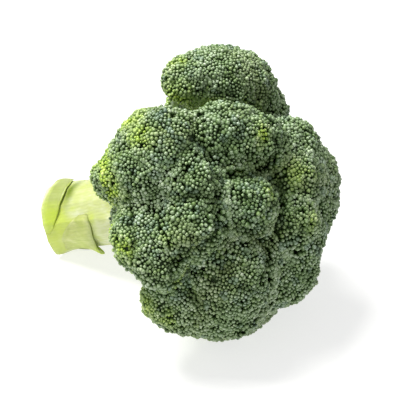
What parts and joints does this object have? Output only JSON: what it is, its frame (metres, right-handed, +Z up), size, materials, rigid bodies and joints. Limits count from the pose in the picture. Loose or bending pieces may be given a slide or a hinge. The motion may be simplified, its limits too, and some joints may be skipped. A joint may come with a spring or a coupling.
{
  "type": "broccoli head",
  "caption": "Head of broccoli lying on its side: a thick cut stalk with trimmed leaf stubs, branching into a domed crown of florets covered in small green buds.",
  "frame": {"origin": "centre of the bounding box, on the floor it rests on", "axes": "+Z up from the floor; the stalk's axis lies in the XZ plane, its cut end toward -X and the crown toward +X and up"},
  "size_m": [0.1748, 0.1476, 0.1384],
  "materials": {
    "stalk_flesh": "pale yellow-green plant flesh, waxy satin skin, fibrous where cut",
    "leaf_stub_flesh": "yellow-green plant flesh, satin, knife-cut facets",
    "buds": "closed grey-green flower buds with a dull bloom, yellow-green where young, dark in the gaps"
  },
  "bodies": {
    "root": {"main_stalk": "stalk_flesh", "leaf_stub_1": "leaf_stub_flesh", "leaf_stub_2": "leaf_stub_flesh", "leaf_stub_3": "leaf_stub_flesh", "rim_floret_1": "buds", "rim_floret_2": "buds", "rim_floret_3": "buds", "rim_floret_4": "buds", "rim_floret_5": "buds", "rim_floret_6": "buds", "rim_floret_7": "buds", "rim_floret_8": "buds", "rim_floret_9": "buds", "inner_floret_1": "buds", "inner_floret_2": "buds", "inner_floret_3": "buds", "inner_floret_4": "buds", "inner_floret_5": "buds", "inner_floret_6": "buds", "inner_floret_7": "buds"}
  },
  "joints": []
}
